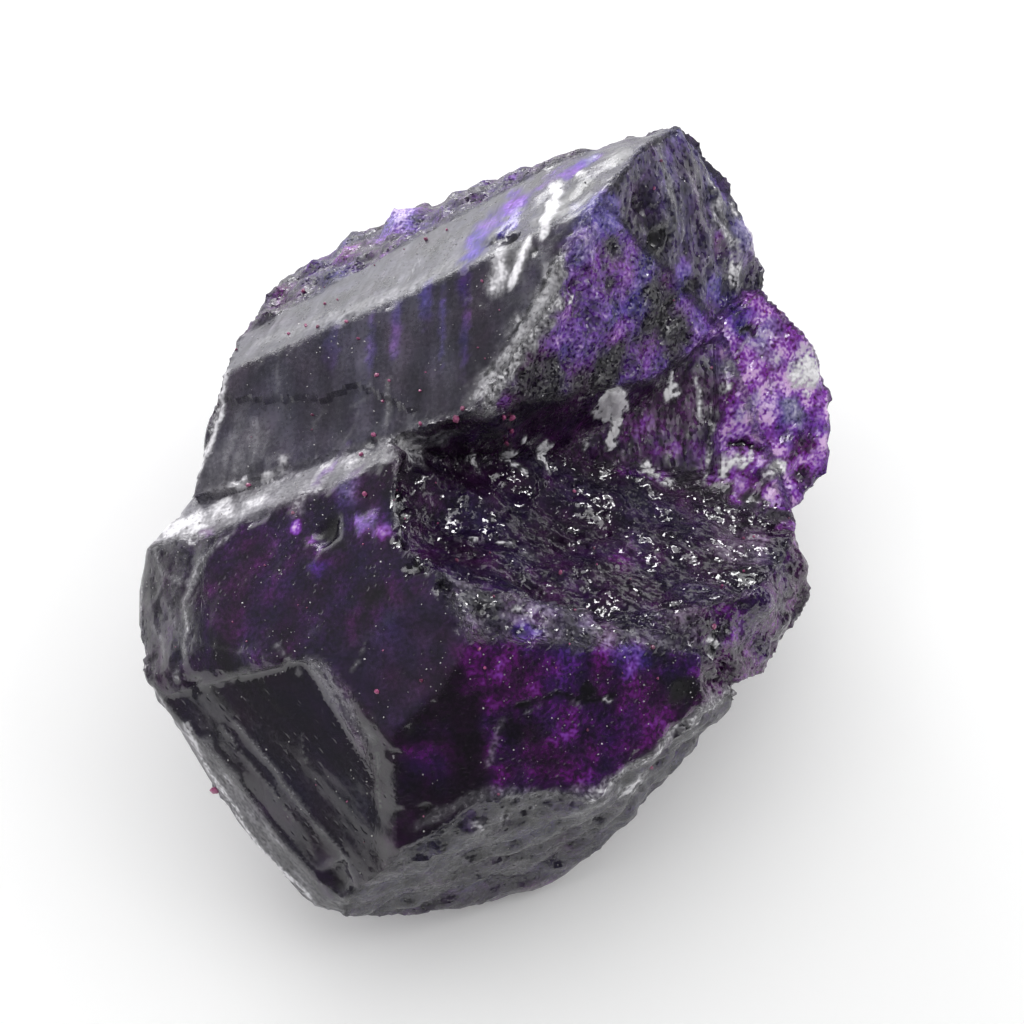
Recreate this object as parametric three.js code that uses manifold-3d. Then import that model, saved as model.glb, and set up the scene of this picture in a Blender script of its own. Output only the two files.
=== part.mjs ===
// Rough sapphire: two corundum crystals that grew side by side and joined, with a thin lobe on the right
// and a broken valley between them. One closed solid, in millimetres, +Z up, resting on a flat parting face.
import * as THREE from 'three';
import { ConvexGeometry } from 'three/addons/geometries/ConvexGeometry.js';
import { mergeVertices } from 'three/addons/utils/BufferGeometryUtils.js';
import Module from 'manifold-3d';

const wasm = await Module();
wasm.setup();

// Driving dimensions, in millimetres. X runs to the right, Y to the back and Z up from the resting face.
const CREST = 31;          // height of the upper crystal's crest above the resting face
const SHOULDER = 28;       // height of the lower crystal's crest
const GIRTH = 12;          // height of the widest outline, below which the stone tapers to its resting face
const CLEARANCE = 12;      // how far the cutting blocks stand above the stone they take away
const RISER_LEAN = [6, -1.2, 5.2];  // from the foot of the frosted riser to its top
const WELD = 1e-4;         // corners closer than this are one corner

// A crystal face is a plane, z = height + slopeX x + slopeY y, that gives the point above any x and y.
const face = (height, slopeX, slopeY) => (x, y) => [x, y, height + slopeX * x + slopeY * y];

const upperFace = face(CREST - 2.4, 0.457, 0.095);       // the wide glossy face of the upper crystal
const backBevel = face(CREST + 7.9, 0.624, -0.722);      // the bevel behind it
const brightFace = face(CREST + 3.4, 0.325, -0.408);     // the small face at the top right
const crestBevel = face(CREST - 4.3, -0.033, 0.412);     // the narrow striated bevel along the crest
const frontFace = face(CREST - 9.9, -2.064, 1.785);      // the frosted face in front of the crest
const sideFace = face(CREST - 1.5, -1.41, 0.692);        // its continuation to the right
const lowerFace = face(SHOULDER + 2.3, 0.505, -0.002);   // the purple face of the lower crystal
const seamFace = face(SHOULDER + 2.2, 0.594, -0.43);     // the lip that runs down into the seam
const leftEnd = face(SHOULDER + 12, 0.961, 0.026);       // the veined face at the left end
const stepFace = face(SHOULDER + 20.3, 0.753, 1.025);    // the striated face at the lower left
const frontFlat = face(SHOULDER + 14.4, -0.145, 1.047);  // the flat between the step and the front wall
const roofFace = face(SHOULDER + 7.1, 0.262, 0.529);     // the smooth grey face on the crest
const rightFace = face(SHOULDER + 3.7, -0.502, 0.545);   // the cloudy purple face on the right

// A solid block of stone with the given corners.
function block(corners) {
  const geometry = new ConvexGeometry(corners.map(([x, y, z]) => new THREE.Vector3(x, y, z)));
  geometry.deleteAttribute('normal');
  geometry.deleteAttribute('uv');
  const welded = mergeVertices(geometry, WELD);
  return new wasm.Manifold(new wasm.Mesh({
    numProp: 3,
    vertProperties: new Float32Array(welded.attributes.position.array),
    triVerts: new Uint32Array(welded.index.array),
  }));
}

function upperCrystal() {
  return block([
    // crest, from the valley to the back, and the striated bevel along it
    upperFace(-3.1, 1.2), upperFace(3, 10.6), [6, 15.2, CREST + 0.6], [9.2, 20.4, CREST - 0.5],
    crestBevel(-1.5, 1.9), crestBevel(3.3, 9),
    // edge between the wide face and the back bevel
    upperFace(-2.5, 12), upperFace(-7.7, 10.5), upperFace(-14.9, 8.3), upperFace(-20.6, 8.1),
    // left and lower edge of the wide face
    upperFace(-21.2, 5.4), upperFace(-22.6, -0.8), upperFace(-14.6, -0.5), upperFace(-9, 0.3),
    // outer edge of the back bevel and of the bright face
    backBevel(-19.9, 12.7), backBevel(-17.1, 19.4), backBevel(-11.9, 17.4), backBevel(-8.2, 18.4),
    backBevel(-4.5, 20.5), backBevel(-1.2, 22.4), brightFace(3.4, 21.7), brightFace(6.2, 22.3),
    // rough rim along the back
    [-16.3, 21.2, GIRTH], [-12.8, 22.8, GIRTH + 1], [-8.6, 25.2, GIRTH + 2], [-6.6, 25, GIRTH + 2.5],
    // frosted front face, down to its lower edge
    frontFace(-2.6, 0.9), frontFace(1.2, 2.9), frontFace(6.2, 7), [9.8, 7.9, 19.4], sideFace(15.2, 13.2),
    // rough right side
    sideFace(13.5, 19.4), sideFace(14.8, 15.3), [11.8, 25, 26], [13.7, 24.8, 24], [15.6, 23.2, 21.5],
    [16.8, 21.3, 19.5], [18.1, 18.9, 17], [18.6, 17.6, 15],
    // taper to the resting face
    [-17, 6, 6], [-15, 15, 5], [-6, 20, 4], [8, 20, 5], [14, 12, 5],
    [-9, 14, 0], [5, 15, 0], [10, 6, 0], [-12, 0, 0],
  ]);
}

function lowerCrystal() {
  return block([
    // purple face
    lowerFace(-19.5, -4.2), lowerFace(-14.4, -3.3), lowerFace(-7.5, -1.8), lowerFace(-4.6, -11.2),
    lowerFace(-15.9, -14.6), lowerFace(-20.7, -12.6), lowerFace(-21.1, -6.3),
    // lip down into the seam
    seamFace(-25.4, -3.9), seamFace(-23.3, -2.6), seamFace(-22, 0.5), seamFace(-8.9, 1),
    // left end
    leftEnd(-26, -4.2), leftEnd(-26.2, -7), leftEnd(-26, -10), leftEnd(-24.9, -13.6),
    // roof and right face
    roofFace(-2.7, -14.9), roofFace(-4.6, -17.7), roofFace(-8.7, -20.7), roofFace(-11.9, -15.3),
    rightFace(0.5, -12.7), rightFace(12.8, -12.6), rightFace(5.9, -21.9), rightFace(12.8, -16),
    // outer edge of the striated face
    stepFace(-22.9, -15.6), stepFace(-21.1, -17.6), stepFace(-14.5, -25), stepFace(-13.2, -26.5),
    stepFace(-11, -27.7),
    // steep bevel below it, down to the widest outline
    [-24.9, -13.3, GIRTH - 1], [-23.7, -14.9, GIRTH - 1], [-21.9, -17.3, GIRTH - 1.5],
    [-19, -21.8, GIRTH - 2.5], [-16.1, -25.1, GIRTH - 3], [-13.9, -27.3, GIRTH - 4],
    // flat above the front wall
    frontFlat(-8.6, -20.8), frontFlat(-7.4, -26.1), frontFlat(-1.4, -22.7),
    // outline of the front wall
    [-11.6, -28, 7.5], [-8, -26.9, 6], [-3, -25.6, 2], [2, -23.8, 3], [6.3, -22.4, 5], [9.9, -18.9, 6.5],
    [14.8, -13.3, 9.5], [15.8, -13.5, 13],
    // taper to the resting face
    [-22, -12, 6], [-23, -5, 8], [-14, -23, 3],
    [-14, -16, 0], [-8, -22.5, 0], [-2, -24.5, 0], [4, -22, 0], [11, -11, 0], [10, 0, 0], [-14, -4, 0],
  ]);
}

// The stone missing above the striated face, bounded on the right by a low frosted riser.
function stepCut() {
  const foot = [[-13.4, -15], [-10.1, -20.2], [-9, -21.6], [-8.6, -30], [-14, -34], [-32, -18],
    [-24, -14.6], [-17.9, -15.5]].map(([x, y]) => stepFace(x, y));
  const riserTop = foot.slice(0, 3).map((corner) => corner.map((value, axis) => value + RISER_LEAN[axis]));
  const openTop = foot.slice(3).map(([x, y, z]) => [x, y, z + CLEARANCE]);
  return block([...foot, ...riserTop, ...openTop]);
}

// The cloudy lobe that sticks out on the right, thin like a fin.
function rightLobe() {
  return block([
    // outline of its top
    [15.5, 13.6, 18], [18.5, 16.7, 17], [22.6, 13.7, 14], [23.9, 10.2, 12],
    [23.3, 4.5, 11.2], [21, 1.4, 11.2], [14.8, 2.8, 13.5], [15.1, 8.1, 16],
    // root inside the upper crystal
    [10, 12, 15], [10, 4, 12], [12, 18, 14], [10, 12, 5], [10, 2, 5],
    // underside
    [17.5, 14.5, 10], [21.5, 12.5, 9], [22.4, 9.5, 8], [21.3, 5, 7], [18, 1, 5],
  ]);
}

// The rough stone between the two crystals, before the hollow is broken out of it.
function valley() {
  return block([
    // left end, against the lower crystal
    [-4.3, 2.5, 24], [-7.5, -1.6, 25], [-8, -4, 25.2], [-5, -10.5, 26.5],
    // back, against the upper crystal and the lobe
    [4.4, 6.2, 20.5], [13.5, 10.5, 18.5], [15.1, 12.5, 18], [14.5, 1.9, 14],
    // front edge and the knob at its right end
    [12.8, -9.7, 19], [12.9, -11.8, 17.5], [16.5, -7.6, 17.5], [15.9, -5.1, 17],
    [20.8, -0.2, 12.5], [20.3, 1.7, 12], [21.3, -2.5, 11], [21.3, -4.6, 10.5], [20.1, -7.3, 9.5],
    [17.9, -10.2, 9], [15.8, -12.8, 12.8],
    // taper to the resting face
    [-10, -4, 0], [-6, 8, 0], [8, 8, 0], [10, -10, 0], [16, -2, 5], [15, -9, 5],
  ]);
}

// The hollow broken out between the crystals: a smooth wall under the crest, a floor rising to the front.
function hollow() {
  const floor = [[-5, 3.6, 21], [6.4, 3, 15], [14.6, 1.8, 13.3], [-0.8, -4.4, 20.5], [6.1, -4.6, 17.5],
    [14.5, -4.4, 15.3], [24, 0.6, 11.6], [-5.6, -1.6, 22.5], [-5.5, -6.3, 23]];
  const rim = [[-7.4, -0.4, 25], [-6.6, 2, 24.5], [-7.8, -4.3, 25.2], [-7, -8.5, 26], [-4.6, -10.8, 27.4],
    [-0.8, -11.2, 25], [5.9, -11, 21], [12.8, -9.5, 19], [15.4, -5.4, 16.8], [24, -2.6, 12.4], [24, 3, 12],
    [4.4, 6.2, 20.5], [15, 12.4, 18]];
  return block([...floor, ...rim, ...rim.map(([x, y, z]) => [x, y, z + CLEARANCE])]);
}

const stone = lowerCrystal().subtract(stepCut()).add(valley()).subtract(hollow()).add(rightLobe())
  .add(upperCrystal());

// Solid back to a mesh, moved so that the origin is the middle of the bounding box's floor.
function meshOf(solid, name, material) {
  const { vertProperties, triVerts } = solid.getMesh();
  const geometry = new THREE.BufferGeometry();
  geometry.setAttribute('position', new THREE.BufferAttribute(vertProperties, 3));
  geometry.setIndex(new THREE.BufferAttribute(triVerts, 1));
  geometry.computeBoundingBox();
  const { min, max } = geometry.boundingBox;
  geometry.translate(-(min.x + max.x) / 2, -(min.y + max.y) / 2, -min.z);
  const mesh = new THREE.Mesh(geometry, material);
  mesh.name = name;
  return mesh;
}

const violetCorundum = new THREE.MeshStandardMaterial({ color: 0x3a2350, roughness: 0.25, metalness: 0 });

const group = new THREE.Group();
group.add(meshOf(stone, 'rough_sapphire', violetCorundum));

export default group;
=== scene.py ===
"""Rough sapphire, two violet corundum crystals grown together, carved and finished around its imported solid."""
import math

import bmesh
import bpy
import numpy as np
from bpy.props import FloatProperty, FloatVectorProperty, IntProperty, PointerProperty
from mathutils import Matrix, Vector, noise
from mathutils.bvhtree import BVHTree
from mathutils.kdtree import KDTree


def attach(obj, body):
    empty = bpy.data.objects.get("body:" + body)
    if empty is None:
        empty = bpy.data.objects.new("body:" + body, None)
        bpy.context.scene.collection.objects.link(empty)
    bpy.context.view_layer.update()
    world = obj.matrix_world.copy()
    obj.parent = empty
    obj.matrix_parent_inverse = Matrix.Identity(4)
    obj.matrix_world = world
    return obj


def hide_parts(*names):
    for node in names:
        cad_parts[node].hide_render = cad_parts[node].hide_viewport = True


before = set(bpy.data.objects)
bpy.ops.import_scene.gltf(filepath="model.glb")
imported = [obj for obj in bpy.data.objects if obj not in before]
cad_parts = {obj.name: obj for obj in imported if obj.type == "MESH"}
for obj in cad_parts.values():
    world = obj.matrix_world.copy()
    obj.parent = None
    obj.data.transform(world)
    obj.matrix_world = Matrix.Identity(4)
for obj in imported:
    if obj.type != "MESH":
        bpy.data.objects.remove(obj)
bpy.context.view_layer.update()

bl_info = {
    "name": "Rough Sapphire",
    "version": (1, 0, 0),
    "blender": (4, 5, 0),
    "location": "3D View > Sidebar > Sapphire",
    "description": "Carves the packed stone into a rough violet sapphire, with its dust and a plain stage",
    "category": "Object",
}

STONE = "rough_sapphire"
MM = 0.001                  # one millimetre in Blender's metres
SEED = 7                    # every random draw and every noise field starts from this
WELD = 1e-6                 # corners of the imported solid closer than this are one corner
CREASE = math.radians(20)   # packed facets that turn further than this meet in a crease
SHARP = math.radians(34)    # carved faces that turn further than this are shaded with a hard edge
TILT = 1.6                  # how steeply fracture facets lean
IOR = 1.77                  # of corundum
DENSITY = 900.0             # of the violet, per metre: a centimetre of clear stone is nearly black

# Numbers of the noise fields that run over the whole stone.
CHIPPING, STEP_LINE, VEILS, BLOTCHES, BANDS, HUES, DRIFTS = 3, 4, 11, 12, 13, 14, 21

# Widths of the patterns in the stone's skin. A real fracture's are finer still; these are as coarse as they
# need to be to show.
STREAKS, FLECKS, SAND = 0.5 * MM, 0.25 * MM, 0.2 * MM
PORES, CRINKLES, SPLINTERS = 0.5 * MM, 1.0 * MM, 0.22 * MM

# The faces of the stone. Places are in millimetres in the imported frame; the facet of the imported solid
# nearest to a place lends its plane to the face of that name.
FACES = {
    "wide_face": [(-10, 5, 24.2), (-4, 8, 27)],
    "back_bevel": [(-10.2, 12.5, 23.8)],
    "bright_face": [(2.4, 17.9, 28.3), (7.9, 19.8, 30.2)],
    "crest_bevel": [(2.4, 7.1, 29)],
    "back_rim": [(-10.8, 20.5, 18), (-7.2, 22.9, 18.3), (-16, 19, 16)],
    "frosted_front": [(4.4, 8.1, 27.3), (10.8, 14.4, 24.7)],
    "rough_right": [(14.7, 18.9, 22.6), (16.3, 22.8, 21.9)],
    "hollow_wall": [(4.5, 5.2, 19.5), (8.8, 8, 20.2)],
    "shelf": [(10.4, 7.1, 15.8), (13.5, 7, 15)],
    "lobe": [(19.3, 11.5, 15.3), (22.5, 10.8, 13.4), (17.9, 7.9, 14.9), (17.8, 6, 14), (17.5, 4, 13.2),
             (19.2, 3.8, 12.9), (19.5, 3.2, 12.7)],
    "valley_floor": [(0.3, -3.8, 20.7), (-3.1, -1.3, 21.7), (8.7, -3.9, 17.5)],
    "knob": [(19.3, -5.2, 15.1), (21, -4.1, 12.5), (15.2, -8.3, 18)],
    "seam_lip": [(-17.7, -0.9, 20)],
    "left_end": [(-22.4, -8.5, 17.6), (-20.9, -3.4, 19)],
    "lower_face": [(-12, -8, 23.5), (-19.4, -12.2, 19.3), (-20, -12.9, 18.2)],
    "roof": [(-4.8, -12.7, 26.1)],
    "riser": [(-9.8, -16.3, 22.1)],
    "step_face": [(-14.5, -17.7, 17), (-18.8, -14, 17.5)],
    "front_flat": [(-4.3, -23.3, 17.3), (-6.2, -20.3, 20.7), (-7.2, -19.4, 21.1), (-6.9, -21.5, 19.1),
                   (-7.3, -23.1, 17)],
    "crest_band": [(3, -11.5, 24.3), (12.9, -9.5, 18.7)],
    "right_face": [(4.3, -16.9, 20.8), (12.5, -13.7, 17.9)],
    "front_wall": [(-1, -23.5, 10.8), (8.6, -19.5, 11.9), (0.2, -22.2, 17.3)],
    "left_bevel": [(-18.9, -18.7, 11.4), (-16.3, -21.8, 10.4)],
    "underside": [(0, 22, 10), (-20, 8, 10), (20, 8, 7), (18, -9, 6), (-24, -5, 8), (0, -24, 1), (-19, -14, 4)],
    "rest_face": [(0, 0, 0)],
}

# What each face is like. Swell and break are reliefs in millimetres with their widths: a swell is a smooth
# undulation, a break is a field of small tilted fracture facets. Grain is a relief 0.7 mm wide. Frost goes from
# 0, glassy, to 1, ground matt; cloud is how milky and bright the violet inside shows; rose turns it magenta;
# film and sheen is the pale grey bloom of an abraded face, and also painted sheen where that grey stands in for
# the face's reflection of the bright room; glitter is the share of hair-fine fracture facets; grit is
# how blotchy all of it is.
# In order: swell, its width, break, its width, grain, frost, cloud, rose, film and sheen, glitter, grit.
FINISH = {
    "wide_face": (0.06, 7, 0, 1, 0.006, 0.32, 0.07, 0.35, 0.13, 0.02, 0.15),
    "back_bevel": (0.08, 4, 0.03, 2, 0.01, 0.45, 0.09, 0.15, 0.24, 0, 0.35),
    "bright_face": (0.16, 2.2, 0.05, 1.6, 0.015, 0.35, 0.1, 0.05, 0.06, 0.05, 0.2),
    "crest_bevel": (0.06, 3, 0.02, 1.2, 0.02, 0.34, 0.06, 0.2, 0.72, 0, 0.12),
    "back_rim": (0.4, 2, 0.2, 1.5, 0.05, 0.65, 0.19, 0.5, 0, 0.3, 0.6),
    "frosted_front": (0.3, 2.4, 0.16, 1.1, 0.06, 0.62, 0.64, 0.55, 0.02, 0.9, 0.4),
    "rough_right": (0.4, 2.6, 0.25, 1.3, 0.07, 0.65, 0.21, 0.35, 0.1, 0.5, 0.6),
    "hollow_wall": (0.3, 3, 0.16, 1.4, 0.02, 0.4, 0.13, 0.8, 0, 0.35, 0.35),
    "shelf": (0.25, 2.5, 0.12, 1.4, 0.03, 0.5, 0.22, 0.75, 0.05, 0.4, 0.7),
    "lobe": (0.15, 2.2, 0.14, 1.6, 0.05, 0.42, 1.05, 1, 0, 0.45, 0.6),
    "valley_floor": (0.45, 2.6, 0.42, 1.9, 0, 0.16, 0.11, 0.75, 0.03, 0.95, 0.45),
    "knob": (0.5, 2.8, 0.22, 1.1, 0.03, 0.35, 0.27, 0.95, 0, 0.9, 0.6),
    "seam_lip": (0.08, 4, 0, 1, 0.015, 0.6, 0.12, 0.6, 0.5, 0.1, 0.12),
    "left_end": (0.15, 2.6, 0.1, 1.3, 0.015, 0.28, 0.06, 0.55, 0, 0.2, 0.5),
    "lower_face": (0.08, 4, 0.03, 1.5, 0.008, 0.14, 0.11, 0.72, 0, 0.03, 0.35),
    "roof": (0.05, 5, 0, 1, 0.004, 0.22, 0.12, 0.5, 0.05, 0.02, 0.2),
    "riser": (0.12, 1.2, 0.12, 0.9, 0.015, 0.4, 0.14, 0.8, 0.1, 0.5, 0.35),
    "step_face": (0.04, 5, 0, 1, 0.003, 0.04, 0.05, 0.6, 0.01, 0.02, 0.1),
    "front_flat": (0.08, 3, 0.02, 1.4, 0.01, 0.2, 0.06, 0.95, 0, 0.05, 0.3),
    "crest_band": (0.3, 2, 0.14, 1, 0.05, 0.4, 0.2, 0.85, 0.2, 0.9, 0.7),
    "right_face": (0.12, 3.5, 0.03, 2.4, 0.01, 0.2, 0.27, 0.75, 0, 0.08, 0.45),
    "front_wall": (0.38, 2.2, 0.22, 1.3, 0.04, 0.46, 0.08, 0.35, 0.03, 0.22, 0.8),
    "left_bevel": (0.1, 3, 0.05, 1.4, 0.015, 0.7, 0.05, 0.5, 0.45, 0.05, 0.6),
    "underside": (0.5, 4.5, 0.42, 2.8, 0.03, 0.38, 0.13, 0.65, 0.01, 0.45, 0.8),
    "rest_face": (0, 4, 0, 1, 0, 0.5, 0.1, 0.4, 0.04, 0, 0.6),
}
FINISHES = ("frost", "cloud", "rose", "film_and_sheen", "glitter", "grit")

# The way each face's growth lines or tears run. A longer vector draws its marks out further, up to a length of 1.
LAY = {
    "wide_face": (0, 0.97, 0.05), "back_bevel": (0.34, 0.83, -0.39), "bright_face": (0.18, 0.31, 0.16),
    "crest_bevel": (0.53, 0.8, 0.3), "rough_right": (0.2, -0.75, -0.5), "hollow_wall": (0, -0.6, -0.5),
    "shelf": (0.1, -0.85, -0.38), "lobe": (0.52, 0.76, 0), "valley_floor": (0.45, 0, -0.15),
    "seam_lip": (0.5, 0.1, 0.16), "left_end": (0.25, -0.7, -0.25), "riser": (0.45, -0.68, -0.32),
    "step_face": (0.62, -0.7, -0.24), "front_wall": (0.5, 0.16, 0.12), "left_bevel": (0.62, -0.7, -0.24),
    "crest_band": (0.6, 0.1, -0.3), "underside": (0.3, 0.3, 0.8), "knob": (0.4, -0.3, -0.4),
}
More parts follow.
